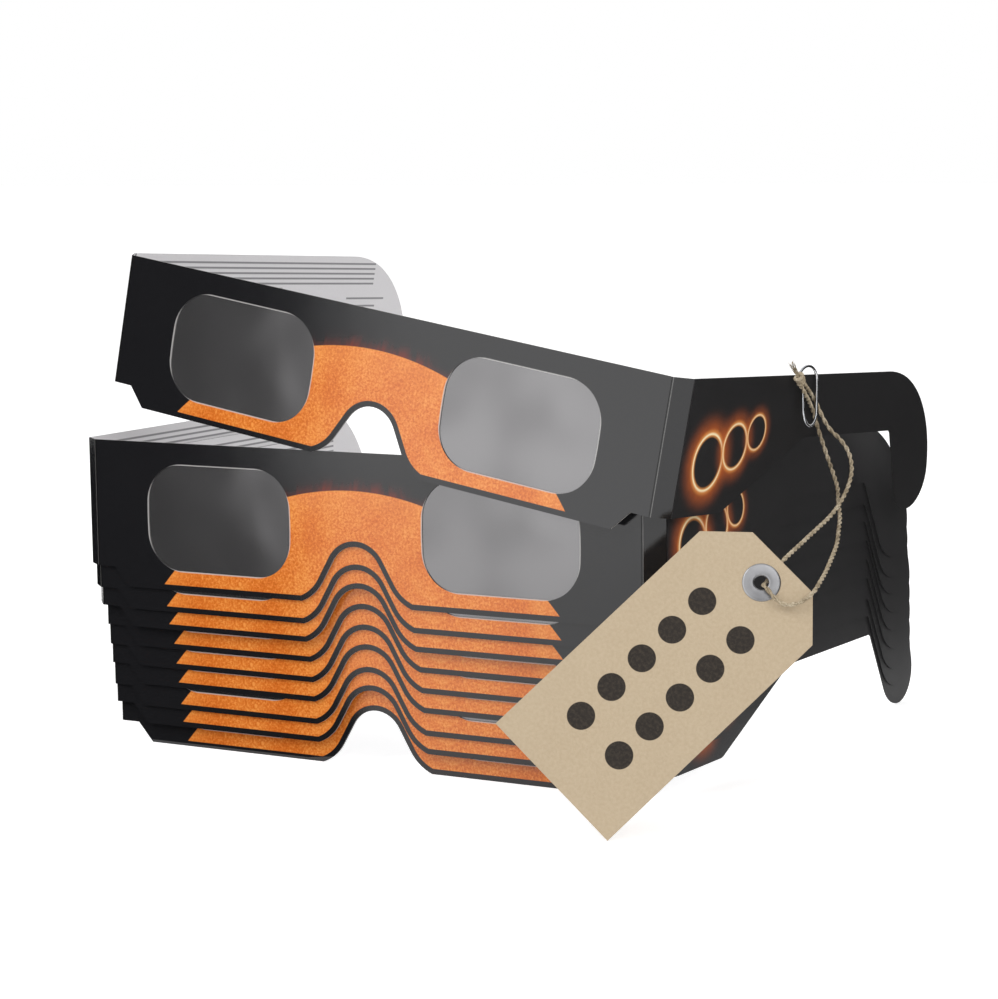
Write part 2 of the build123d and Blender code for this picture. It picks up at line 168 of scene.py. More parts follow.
class Shader:
    """One node material, written from top to bottom."""

    def __init__(self, name: str) -> None:
        """Starts an empty node material of that name."""
        self.material = bpy.data.materials.new(name)
        self.material.use_nodes = True
        self.tree = self.material.node_tree
        self.tree.nodes.clear()
        self.output = self.tree.nodes.new("ShaderNodeOutputMaterial")

    def node(
        self, kind: str, settings: Optional[Dict] = None, inputs: Optional[Dict] = None,
        out: Union[int, str] = 0,
    ) -> Signal:
        """Adds one node and hands back one of its outputs.

        Its own settings, such as an operation or a ramp's stops, are set first. The inputs are
        values or signals, by the socket's place or name.
        """
        made = self.tree.nodes.new(kind)
        for key, value in (settings or {}).items():
            if key == "stops":
                ramp = made.color_ramp
                while len(ramp.elements) < len(value):
                    ramp.elements.new(0.5)
                for element, (place, colour) in zip(ramp.elements, value):
                    element.position = place
                    element.color = (*colour, 1.0)
            else:
                setattr(made, key, value)
        for key, value in (inputs or {}).items():
            socket = made.inputs[key]
            if isinstance(value, Signal):
                self.tree.links.new(value.socket, socket)
            elif isinstance(value, tuple) and len(value) == 3 and socket.type == "RGBA":
                socket.default_value = (*value, 1.0)
            else:
                socket.default_value = value
        return Signal(self, made.outputs[out])

    def place(self, to_piece: Matrix) -> Signal:
        """The point in millimetres in a piece's frame, where to_piece leads from the row's."""
        point = self.node("ShaderNodeTexCoord", out="Object")
        rotation = to_piece.to_euler("XYZ")
        return self.node(
            "ShaderNodeMapping",
            {"vector_type": "POINT"},
            {0: point, 1: tuple(to_piece.translation / MM), 2: tuple(rotation), 3: (1 / MM,) * 3},
        )

    def facing(self, to_piece: Matrix) -> Tuple[Signal, Signal, Signal]:
        """The surface's direction in a piece's own frame, as three numbers."""
        normal = self.node("ShaderNodeTexCoord", out="Normal")
        turn = tuple(to_piece.to_euler("XYZ"))
        turned = self.node("ShaderNodeMapping", {"vector_type": "VECTOR"}, {0: normal, 2: turn})
        return self.parts(turned)

    def parts(self, vector: Signal) -> Tuple[Signal, Signal, Signal]:
        """A vector's X, Y and Z."""
        split = self.node("ShaderNodeSeparateXYZ", inputs={0: vector}).socket.node
        return tuple(Signal(self, socket) for socket in split.outputs)

    def vector(self, x: Number, y: Number, z: Number) -> Signal:
        """A vector of three numbers."""
        return self.node("ShaderNodeCombineXYZ", inputs={0: x, 1: y, 2: z})

    def away(self, x: Number, y: Number) -> Signal:
        """Distance from the origin of a flat pattern."""
        flat = self.vector(x, y, 0.0)
        return self.node("ShaderNodeVectorMath", {"operation": "LENGTH"}, {0: flat}, out="Value")

    def grain(self, point: Signal, kind: Grain) -> Signal:
        """Soft noise from 0 to 1 over a point."""
        inputs = {
            "Vector": point, "Scale": kind.scale, "Detail": kind.detail,
            "Roughness": kind.rough, "Distortion": kind.warp,
        }
        return self.node("ShaderNodeTexNoise", inputs=inputs)

    def mix(self, share: Number, first: Tint, second: Tint) -> Signal:
        """Blends two colours."""
        settings = {"data_type": "RGBA", "clamp_factor": True}
        return self.node("ShaderNodeMix", settings, {0: share, 6: first, 7: second}, out=2)

    def ramp(self, value: Signal, stops: Sequence[Tuple[float, Colour]]) -> Signal:
        """A colour picked along a ramp."""
        return self.node("ShaderNodeValToRGB", {"stops": stops}, {0: value})

    def bump(self, height: Signal, depth: float) -> Signal:
        """A surface direction bent by a height, where a height of 1 stands depth metres high."""
        inputs = {"Strength": 1.0, "Distance": depth, "Height": height}
        return self.node("ShaderNodeBump", inputs=inputs)

    def surface(self, **inputs: Union[Number, Colour]) -> bpy.types.Material:
        """Ends the material in one Principled surface, its sockets named with underscores."""
        named = {key.replace("_", " "): value for key, value in inputs.items()}
        shader = self.node("ShaderNodeBsdfPrincipled", inputs=named)
        self.tree.links.new(shader.socket, self.output.inputs["Surface"])
        return self.material


class Side(Enum):
    """Left or right as the camera sees the glasses."""

    LEFT = -1
    RIGHT = 1


@dataclass(frozen=True)
class Ink:
    """The colours of the print and of the board under it, with a painted shade for the fold's
    groove.
    """

    black: Colour = srgb(26, 26, 28)
    orange: Colour = srgb(212, 115, 42)
    deep: Colour = srgb(190, 90, 26)
    bright: Colour = srgb(230, 150, 72)
    ember: Colour = srgb(104, 30, 16)
    glow: Colour = srgb(255, 236, 190)
    core: Colour = srgb(188, 186, 184)
    board: Colour = srgb(222, 220, 222)
    night: Colour = srgb(34, 33, 34)
    cut: Colour = srgb(46, 45, 46)
    # Painted shade: a near-black colour laid in the groove beside the fold's score.
    groove_shade: Colour = srgb(10, 10, 10)


@dataclass(frozen=True)
class PrintedFront:
    """The outer ply: glossy black board with a grained orange sun rising behind the notch, and a
    painted shade and a painted highlight along the fold's score.
    """

    ink: Ink = Ink()
    sun_radius: float = 68.3
    sun_centre: Flat = (-0.5, -76.9)
    sun_edge: float = 0.10
    cells: Grain = Grain(1.7, 4.0, 0.62, 0.5)
    cells_share: float = 0.75
    clouds: Grain = Grain(0.11, 3.0, 0.55)
    clouds_share: float = 0.30
    tone_stops: Tuple[float, float, float] = (0.38, 0.52, 0.66)
    limb_width: float = 7.0
    limb_share: float = 0.20
    halo_width: float = 4.5
    halo_height: Span = (-26.0, -14.0)
    streams: Grain = Grain(0.16, 4.0, 0.6, 1.4)
    stream_stretch: Flat = (0.75, 0.25)
    stream_span: Span = (0.45, 0.72)
    stream_share: float = 0.8
    rim_power: float = 8.0
    rim_share: float = 0.25
    border: float = 1.25
    border_edge: float = 0.08
    bottom: float = -34.25
    notch_radius: float = 7.0
    notch_centre: float = -28.1
    notch_lean: float = math.radians(30.5)
    flare_start: float = 5.86
    flare_centre: Flat = (18.26, -24.14)
    flare_radius: float = 10.75
    out_of_reach: float = 50.0
    score: float = 72.0
    # Painted shade: where the groove beside the score is darkened, and how strongly.
    groove_inset: float = 0.2
    groove_shade_span: Span = (0.34, 0.14)
    groove_shade_share: float = 0.7
    # Painted highlight: a pale line along the fold's ridge, in the board's core colour.
    ridge_highlight_span: Span = (0.13, 0.03)
    ridge_highlight_share: float = 0.12
    ridge_highlight_fibre: float = 0.35
    rubbed_share: float = 0.03
    window_place: Flat = (37.2, -17.4)
    window_half: Flat = (19.7, 12.3)
    window_bow: float = 0.9
    window_round: float = 8.6
    window_rim: Span = (0.34, 0.12)
    window_rim_share: float = 0.75
    front_turn: Span = (0.12, 0.24)
    back_turn: Span = (0.15, 0.25)
    mottle: Grain = Grain(0.06)
    gloss: float = 0.07
    gloss_spread: float = 0.06
    bare_rough: float = 0.4
    coat_fibre: float = 0.5
    coat_mottle: float = 2.0
    coat_depth: float = 0.00002

    def window_distance(self, shader: Shader, x: Signal, z: Signal) -> Signal:
        """How far a point is outside the nearer window, in millimetres."""
        across, rise = abs(abs(x) - self.window_place[0]), z - self.window_place[1]
        bow = (rise / self.window_half[1]).power(2.0) * self.window_bow
        beside = (across + bow - (self.window_half[0] - self.window_round)).most(0.0)
        above = (abs(rise) - (self.window_half[1] - self.window_round)).most(0.0)
        return shader.away(beside, above) - self.window_round

    def edge_distance(self, shader: Shader, x: Signal, z: Signal) -> Signal:
        """How far a point is from the bottom edge or the notch, in millimetres."""
        across = abs(x)
        rise = z - self.notch_centre
        lean = self.notch_lean
        along = across * math.sin(lean) - rise * math.cos(lean)
        crown = shader.away(x, rise) - self.notch_radius
        side = across * math.cos(lean) + rise * math.sin(lean) - self.notch_radius
        beside, above = across - self.flare_centre[0], z - self.flare_centre[1]
        flare = self.flare_radius - shader.away(beside, above)
        straight = along.above(0.0)
        flared = along.above(self.flare_start)
        notch = crown + (side - crown) * straight + (flare - side) * flared
        notch = notch + across.above(self.flare_centre[0]) * self.out_of_reach
        return notch.least(z - self.bottom)

    def sun(self, shader: Shader, x: Signal, z: Signal) -> Signal:
        """The print's colour over the whole front."""
        ink = self.ink
        radius = self.sun_radius
        ring = shader.away(x - self.sun_centre[0], z - self.sun_centre[1])
        flat = shader.vector(x, 0.0, z)
        cells = shader.grain(flat, self.cells)
        clouds = shader.grain(flat, self.clouds)
        tone = cells * self.cells_share + clouds * self.clouds_share
        body = shader.ramp(tone, tuple(zip(self.tone_stops, (ink.deep, ink.orange, ink.bright))))
        limb = ring.rise(radius - self.limb_width, radius)
        body = shader.mix(limb * self.limb_share, body, ink.bright)
        inside = ring.rise(radius + self.sun_edge, radius - self.sun_edge)
        kept = self.edge_distance(shader, x, z).rise(
            self.border - self.border_edge, self.border + self.border_edge
        )
        halo = self.halo(shader, x, z, ring) * kept
        ground = shader.mix(halo * z.rise(*self.halo_height), ink.black, ink.ember)
        return shader.mix(inside * kept, ground, body)

    def halo(self, shader: Shader, x: Signal, z: Signal, ring: Signal) -> Signal:
        """Share of ember round the sun: faint flares and a thin rim."""
        wide, tall = self.stream_stretch
        streams = shader.grain(shader.vector(x * wide, 0.0, z * tall), self.streams)
        reach = ring.rise(self.sun_radius + self.halo_width, self.sun_radius)
        flares = reach * reach * streams.rise(*self.stream_span) * self.stream_share
        return flares + reach.power(self.rim_power) * self.rim_share

    def material(self, name: str, to_pair: Matrix) -> bpy.types.Material:
        """The printed ply's material, where to_pair leads from the row frame to the pair's own."""
        shader = Shader(name)
        ink = self.ink
        point = shader.place(to_pair)
        x, _, z = shader.parts(point)
        _, toward, _ = shader.facing(to_pair)
        printed = (-toward).rise(*self.front_turn)
        fibre = shader.grain(point, FIBRE)
        mottle = shader.grain(point, self.mottle)
        colour = self.sun(shader, x, z)
        # Painted shade: the groove just inside the score is darkened towards near-black.
        past_score = abs(x) - self.score
        groove_shade = abs(past_score + self.groove_inset).rise(*self.groove_shade_span)
        colour = shader.mix(groove_shade * self.groove_shade_share, colour, ink.groove_shade)
        # Painted highlight: a pale line right on the score, standing for light caught by the fold's
        # ridge.
        ridge_highlight = abs(past_score).rise(*self.ridge_highlight_span)
        painted_highlight = self.ridge_highlight_share + fibre * self.ridge_highlight_fibre
        colour = shader.mix(ridge_highlight * painted_highlight, colour, ink.core)
        colour = shader.mix(fibre.rise(*FIBRE_PEAKS) * self.rubbed_share, colour, ink.core)
        colour = shader.mix(printed, ink.cut, colour)
        colour = shader.mix(toward.rise(*self.back_turn), colour, ink.board)
        rim = self.window_distance(shader, x, z).rise(*self.window_rim)
        colour = shader.mix(rim * self.window_rim_share, colour, ink.core)
        coat = fibre * self.coat_fibre + mottle * self.coat_mottle
        return shader.surface(
            Base_Color=colour,
            Roughness=self.gloss + mottle * self.gloss_spread + (1 - printed) * self.bare_rough,
            Specular_IOR_Level=0.5,
            Normal=shader.bump(coat, self.coat_depth),
        )


@dataclass(frozen=True)
class InnerPly:
    """The inner ply: plain pale grey board that faces the wearer."""

    board: Colour = Ink.board
    core: Colour = srgb(176, 172, 168)
    face_turn: Span = (0.25, 0.5)
    fibre: Grain = Grain(2.6, 4.0, 0.6)
    fibre_share: float = 0.10
    cloud: Grain = Grain(0.09)
    cloud_share: float = 0.06
    rough: float = 0.58
    rough_spread: float = 0.12
    depth: float = 0.00004

    def material(self, name: str, to_pair: Matrix) -> bpy.types.Material:
        """The inner ply's material for a pair."""
        shader = Shader(name)
        point = shader.place(to_pair)
        _, toward, _ = shader.facing(to_pair)
        face = abs(toward).rise(*self.face_turn)
        fibre = shader.grain(point, self.fibre)
        cloud = shader.grain(point, self.cloud)
        worn = fibre.rise(*PULP_SPAN) * self.fibre_share + cloud * self.cloud_share
        pale = shader.mix(worn, self.board, self.core)
        return shader.surface(
            Base_Color=shader.mix(face, self.core, pale),
            Roughness=self.rough + fibre * self.rough_spread,
            Specular_IOR_Level=0.35,
            Normal=shader.bump(fibre, self.depth),
        )


@dataclass(frozen=True)
class TemplePrint:
    """A temple: black outside with three glowing rings, pale inside with plain ruled lines.

    A ring is its place back from the fold, its height, its radius and its strength. A ruled line
    is its height, its start and its end.
    """

    ink: Ink = Ink()
    board: Colour = srgb(230, 228, 230)
    rule: Colour = srgb(98, 97, 100)
    rings: Tuple[Tuple[float, float, float, float], ...] = (
        (11.5, -18.2, 6.1, 1.0), (22.6, -15.2, 5.0, 0.78), (31.6, -12.4, 3.9, 0.55)
    )
    wisps: Grain = Grain(0.32, 4.0, 0.6, 0.8)
    corona_width: float = 7.0
    corona_share: float = 0.35
    corona_wisps: float = 0.75
    bead_width: float = 1.5
    bead_inner: Span = (-0.9, -0.1)
    bead_share: float = 0.55
    bead_gain: float = 0.45
    spark_width: float = 0.55
    spark_inner: Span = (-0.35, 0.0)
    rules: Tuple[Tuple[float, float, float], ...] = (
        (-1.9, 8.0, 104.0), (-3.2, 8.0, 104.0), (-4.5, 8.0, 104.0), (-5.8, 8.0, 104.0),
        (-7.1, 8.0, 104.0), (-8.4, 8.0, 62.0), (-11.0, 92.0, 110.0), (-13.0, 92.0, 106.0),
    )
    rule_span: Span = (0.30, 0.18)
    rule_share: float = 0.75
    face_turn: Span = (0.4, 0.6)
    rubbed_share: float = 0.05
    pulp_share: float = 0.10
    mottle: Grain = Grain(0.05)
    rough: float = 0.46
    rough_spread: float = 0.10
    coat_fibre: float = 0.7
    coat_mottle: float = 2.0
    coat_depth: float = 0.00004

    def glow(self, shader: Shader, run: Signal, z: Signal) -> Signal:
        """The outside's colour, run millimetres back from the fold and z up from the top edge."""
        ink = self.ink
        wisp = shader.grain(shader.vector(run, z, 0.0), self.wisps)
        colour = ink.night
        for place, drop, radius, share in self.rings:
            ring = shader.away(run - place, z - drop) - radius
            corona = ring.rise(self.corona_width * share, 0.0) * ring.above(0.0)
            halo = corona * corona * (self.corona_share + wisp * self.corona_wisps) * share
            colour = shader.mix(halo, colour, ink.deep)
            deepest, shallow = self.bead_inner
            bead = ring.rise(self.bead_width * share, 0.0) * ring.rise(deepest * share, shallow)
            strength = self.bead_share + self.bead_gain * share
            colour = shader.mix(bead * strength, colour, ink.bright)
            spark = ring.rise(self.spark_width * share, 0.0) * ring.rise(*self.spark_inner)
            colour = shader.mix(spark * share, colour, ink.glow)
        return colour

    def lines(self, run: Signal, z: Signal) -> Signal:
        """Share of ink of the inside's plain ruled lines."""
        total: Number = 0.0
        for drop, start, end in self.rules:
            line = abs(z - drop).rise(*self.rule_span) * run.above(start) * (1 - run.above(end))
            total = line + total
        return total

    def material(self, name: str, to_temple: Matrix, side: Side) -> bpy.types.Material:
        """A temple's material, where to_temple leads from the row frame to the temple's own."""
        shader = Shader(name)
        core = self.ink.core
        point = shader.place(to_temple)
        _, run, z = shader.parts(point)
        outward, _, _ = shader.facing(to_temple)
        outward = outward * float(side.value)
        fibre = shader.grain(point, FIBRE)
        mottle = shader.grain(point, self.mottle)
        outside = self.glow(shader, run, z)
        outside = shader.mix(fibre.rise(*FIBRE_PEAKS) * self.rubbed_share, outside, core)
        pale = shader.mix(fibre.rise(*PULP_SPAN) * self.pulp_share, self.board, core)
        pale = shader.mix(self.lines(run, z) * self.rule_share, pale, self.rule)
        colour = shader.mix((-outward).rise(*self.face_turn), self.ink.cut, pale)
        colour = shader.mix(outward.rise(*self.face_turn), colour, outside)
        coat = fibre * self.coat_fibre + mottle * self.coat_mottle
        return shader.surface(
            Base_Color=colour,
            Roughness=self.rough + mottle * self.rough_spread,
            Specular_IOR_Level=0.30,
            Normal=shader.bump(coat, self.coat_depth),
        )


@dataclass(frozen=True)
class SolarFilm:
    """The filters: dark silvered film, a little slack behind the card."""

    tone: Colour = srgb(122, 121, 122)
    dark: Colour = srgb(110, 109, 110)
    slack: Grain = Grain(0.035, 1.0, 0.5, 0.3)
    slack_depth: float = 0.0006
    cloud: Grain = Grain(0.05, 1.0, 0.5)
    cloud_span: Span = (0.3, 0.7)
    rough: float = 0.15
    rough_spread: float = 0.05

    def material(self, name: str, to_pair: Matrix) -> bpy.types.Material:
        """The films' material for a pair."""
        shader = Shader(name)
        point = shader.place(to_pair)
        slack = shader.grain(point, self.slack)
        cloud = shader.grain(point, self.cloud)
        return shader.surface(
            Base_Color=shader.mix(cloud.rise(*self.cloud_span), self.tone, self.dark),
            Metallic=0.85,
            Roughness=self.rough + cloud * self.rough_spread,
            Normal=shader.bump(slack, self.slack_depth),
        )


@dataclass(frozen=True)
class KraftCard:
    """The tag: unbleached board with flecks and ten plain printed dots."""

    pulp: Colour = srgb(190, 173, 147)
    shade: Colour = srgb(174, 155, 128)
    fleck: Colour = srgb(128, 106, 78)
    print_ink: Colour = srgb(36, 31, 28)
    fibre: Grain = Grain(1.4, 5.0, 0.65)
    fibre_span: Span = (0.3, 0.7)
    fibre_share: float = 0.45
    cloud: Grain = Grain(0.10, 3.0, 0.5)
    cloud_share: float = 0.35
    hairs: Grain = Grain(1.1, 4.0, 0.6, 2.0)
    hair_stretch: Flat = (0.35, 2.2)
    hair_span: Span = (0.66, 0.80)
    hair_share: float = 0.45
    hair_depth: float = 0.5
    front_turn: Span = (0.4, 0.6)
    dot_side: float = 5.6
    dot_start: float = -17.6
    dot_step: float = 8.6
    dot_last: float = 4.0
    dot_radius: float = 2.9
    dot_edge: float = 0.07
    dot_ink: float = 0.94
    worn_span: Span = (0.72, 0.40)
    worn_share: float = 0.05
    depth: float = 0.00008

    def dots(self, shader: Shader, x: Signal, y: Signal) -> Signal:
        """1 inside the two rows of dots, else 0."""
        step = (y - self.dot_start) / -self.dot_step
        near = shader.node("ShaderNodeMath", {"operation": "ROUND"}, {0: step})
        near = near.most(0.0).least(self.dot_last)
        spot = shader.away(abs(x) - self.dot_side, (step - near) * self.dot_step)
        return spot.rise(self.dot_radius + self.dot_edge, self.dot_radius - self.dot_edge)

    def material(self, name: str, to_tag: Matrix) -> bpy.types.Material:
        """The tag's material, where to_tag leads from the row frame to the tag's own."""
        shader = Shader(name)
        point = shader.place(to_tag)
        x, y, z = shader.parts(point)
        _, _, toward = shader.facing(to_tag)
        wide, tall = self.hair_stretch
        fibre = shader.grain(point, self.fibre)
        cloud = shader.grain(point, self.cloud)
        hairs = shader.grain(shader.vector(x * wide, y * tall, z), self.hairs)
        shaded = fibre.rise(*self.fibre_span) * self.fibre_share + cloud * self.cloud_share
        colour = shader.mix(shaded, self.pulp, self.shade)
        colour = shader.mix(hairs.rise(*self.hair_span) * self.hair_share, colour, self.fleck)
        worn = fibre.rise(*self.worn_span) * self.worn_share + self.dot_ink
        dots = self.dots(shader, x, y) * toward.rise(*self.front_turn)
        return shader.surface(
            Base_Color=shader.mix(dots * worn, colour, self.print_ink),
            Roughness=0.82,
            Specular_IOR_Level=0.25,
            Normal=shader.bump(fibre + hairs * self.hair_depth, self.depth),
        )


@dataclass(frozen=True)
class Metal:
    """A plain metal with fine wear."""

    tone: Colour
    worn: Colour
    polish: float
    fine: Grain = Grain(900.0, 3.0, 0.6)
    broad: Grain = Grain(160.0)
    worn_span: Span = (0.35, 0.7)
    rough_spread: float = 0.12
    depth: float = 0.00001

    def material(self, name: str) -> bpy.types.Material:
        """The metal's material."""
        shader = Shader(name)
        point = shader.node("ShaderNodeTexCoord", out="Object")
        fine = shader.grain(point, self.fine)
        broad = shader.grain(point, self.broad)
        return shader.surface(
            Base_Color=shader.mix(broad.rise(*self.worn_span), self.tone, self.worn),
            Metallic=1.0,
            Roughness=self.polish + fine * self.rough_spread,
            Normal=shader.bump(fine, self.depth),
        )


@dataclass(frozen=True)
class Jute:
    """Natural twine: straw-coloured fibre with darker and paler streaks laid by noise."""

    straw: Colour = srgb(172, 157, 132)
    dark: Colour = srgb(106, 93, 75)
    pale: Colour = srgb(216, 205, 184)
    strand: Grain = Grain(2400.0, 4.0, 0.7, 1.0)
    strand_share: float = 0.7
    patch: Grain = Grain(260.0)
    patch_share: float = 0.4
    tone_shift: float = 0.05
    tone_stops: Tuple[float, float, float] = (0.32, 0.5, 0.68)
    depth: float = 0.00012

    def material(self, name: str) -> bpy.types.Material:
        """The twine's material."""
        shader = Shader(name)
        point = shader.node("ShaderNodeTexCoord", out="Object")
        strand = shader.grain(point, self.strand)
        patch = shader.grain(point, self.patch)
        tone = strand * self.strand_share + patch * self.patch_share - self.tone_shift
        stops = tuple(zip(self.tone_stops, (self.dark, self.straw, self.pale)))
        return shader.surface(
            Base_Color=shader.ramp(tone, stops),
            Roughness=0.88,
            Specular_IOR_Level=0.2,
            Normal=shader.bump(strand, self.depth),
        )


def new_piece(
    name: str, mesh: bpy.types.Mesh, material: bpy.types.Material
) -> bpy.types.Object:
    """Puts a finished mesh in the scene as a piece with one material."""
    piece = bpy.data.objects.new(name, mesh)
    bpy.context.scene.collection.objects.link(piece)
    mesh.materials.clear()
    mesh.materials.append(material)
    log.info("made %s with %d faces", name, len(mesh.polygons))
    return piece


def finished(name: str, work: bmesh.types.BMesh) -> bpy.types.Mesh:
    """A smooth mesh from a worked one, with its faces turned outwards."""
    bmesh.ops.recalc_face_normals(work, faces=work.faces)
    mesh = bpy.data.meshes.new(name)
    work.to_mesh(mesh)
    work.free()
    mesh.shade_smooth()
    return mesh


def dress(node: str, material: bpy.types.Material) -> None:
    """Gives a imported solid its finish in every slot."""
    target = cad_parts[node]
    if not target.data.materials:
        target.data.materials.append(material)
    for index in range(len(target.data.materials)):
        target.data.materials[index] = material
    log.info("dressed %s", node)


@dataclass
class Pair:
    """One pair of glasses, dressed where it lies."""

    number: int
    ply: float = 0.25
    fold_gap: float = 0.05
    face_half: float = 72.0
    strip: float = 5.0
    top_fold: float = 58.0
    nest_fold: float = 37.0
    splay: float = 1.4
    top_turn: Place = (-2.99, 9.49, -1.37)
    top_move: Place = (9.45, 0.36, 31.16)

    @property
    def name(self) -> str:
        """The start of the pair's node names."""
        return f"pair_{self.number:02d}"

    def to_row(self) -> Matrix:
        """From the pair's own frame to the row frame, in metres."""
        if self.number == 1:
            turn_x, turn_y, turn_z = (
                Matrix.Rotation(math.radians(angle), 4, axis)
                for angle, axis in zip(self.top_turn, "XYZ")
            )
            move = (Vector(self.top_move) + Vector(NEST_MOVE)) * MM
            return Matrix.Translation(move) @ turn_x @ turn_y @ turn_z
        low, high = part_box(f"{self.name}_front_card")
        return Matrix.Translation(((low.x + high.x) / 2, low.y, high.z))

    def strip_fold(self) -> float:
        """How far the pair's hinge strips are folded back, in radians."""
        if self.number == 1:
            return math.radians(self.top_fold)
        step = (self.ply + self.fold_gap) / self.strip
        return math.acos(math.cos(math.radians(self.nest_fold)) - (self.number - 2) * step)

    def to_temple(self, side: Side) -> Matrix:
        """From the row frame to a temple's own frame: Y along it from the fold, Z up."""
        fold = self.strip_fold()
        across = self.face_half + self.strip * math.cos(fold) - self.ply / 2
        back = self.strip * math.sin(fold) + self.ply * 1.5 + self.fold_gap
        start = Matrix.Translation(Vector((side.value * across, back, 0.0)) * MM)
        turned = Matrix.Rotation(-side.value * math.radians(self.splay), 4, "Z")
        return (self.to_row() @ start @ turned).inverted()

    def dress(
        self, front: PrintedFront, inner: InnerPly, temple: TemplePrint, film: SolarFilm
    ) -> None:
        """Prints and finishes the pair's five nodes."""
        to_pair = self.to_row().inverted()
        dress(f"{self.name}_front_card", front.material(f"{self.name}_front_print", to_pair))
        dress(f"{self.name}_back_card", inner.material(f"{self.name}_inner_board", to_pair))
        dress(f"{self.name}_filters", film.material(f"{self.name}_film", to_pair))
        for side in Side:
            node = f"{self.name}_{side.name.lower()}_temple"
            dress(node, temple.material(f"{node}_print", self.to_temple(side), side))


@dataclass
class Tag:
    """The kraft tag and its rolled eyelet."""

    top: Place = (102.1, 4.3, -18.7)
    facing: float = 28.0
    lean: float = 20.0
    spin: float = -46.7
    card: float = 0.5
    eyelet_place: float = 6.1
    hole: float = 1.5
    flange: float = 4.0
    back_flange: float = 3.2
    metal: float = 0.25
    steps: int = 64
    weld: float = 1e-7

    def to_row(self) -> Matrix:
        """From the tag's own frame to the row frame.

        X runs across the tag, Y towards the eyelet and Z out of the front.
        """
        turn, lean, spin = (math.radians(angle) for angle in (self.facing, self.lean, self.spin))
        level_out = math.cos(lean)
        out = Vector((math.sin(turn) * level_out, -math.cos(turn) * level_out, math.sin(lean)))
        level = Vector((math.cos(turn), math.sin(turn), 0.0))
        rise = out.cross(level)
        across = level * math.cos(spin) + rise * math.sin(spin)
        along = out.cross(across)
        turned = Matrix((across, along, out)).transposed().to_4x4()
        return Matrix.Translation((Vector(self.top) + Vector(NEST_MOVE)) * MM) @ turned

    def eyelet_mesh(self) -> bpy.types.Mesh:
        """The eyelet: a section of rolled sheet spun round the hole."""
        work = bmesh.new()
        metal = self.metal
        front = [
            (self.hole, 0.02), (self.hole + 0.10, metal * 0.72), (self.hole + 0.42, metal),
            (self.hole + 1.1, metal * 0.86), (self.flange - 0.75, metal * 0.80),
            (self.flange - 0.30, metal * 0.72), (self.flange - 0.06, metal * 0.40),
            (self.flange, 0.0),
        ]
        back = [
            (self.back_flange, -self.card), (self.back_flange - 0.08, -self.card - metal * 0.6),
            (self.back_flange - 0.45, -self.card - metal), (self.hole + 0.30, -self.card - metal),
            (self.hole + 0.05, -self.card - metal * 0.6), (self.hole, -self.card + 0.1),
        ]
        inner = self.hole + 0.4
        section = front + [(inner, 0.0), (inner, -self.card)] + back
        corners = [work.verts.new((radius * MM, 0.0, height * MM)) for radius, height in section]
        edges = [work.edges.new(pair) for pair in zip(corners, corners[1:] + corners[:1])]
        bmesh.ops.spin(
            work, geom=corners + edges, cent=(0, 0, 0), axis=(0, 0, 1), angle=math.tau,
            steps=self.steps, use_merge=True,
        )
        bmesh.ops.remove_doubles(work, verts=work.verts, dist=self.weld)
        place = self.to_row() @ Matrix.Translation((0, -self.eyelet_place * MM, 0))
        bmesh.ops.transform(work, matrix=place, verts=work.verts)
        return finished("eyelet_rolled", work)

    def build(self, kraft: KraftCard, metal: Metal) -> None:
        """Dresses the card and puts the rolled eyelet in place of its solid."""
        dress("tag_card", kraft.material("kraft_board", self.to_row().inverted()))
        finish = metal.material("eyelet_finish")
        eyelet = new_piece("eyelet_rolled", self.eyelet_mesh(), finish)
        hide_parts("tag_eyelet")
        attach(eyelet, "pair_01_front")


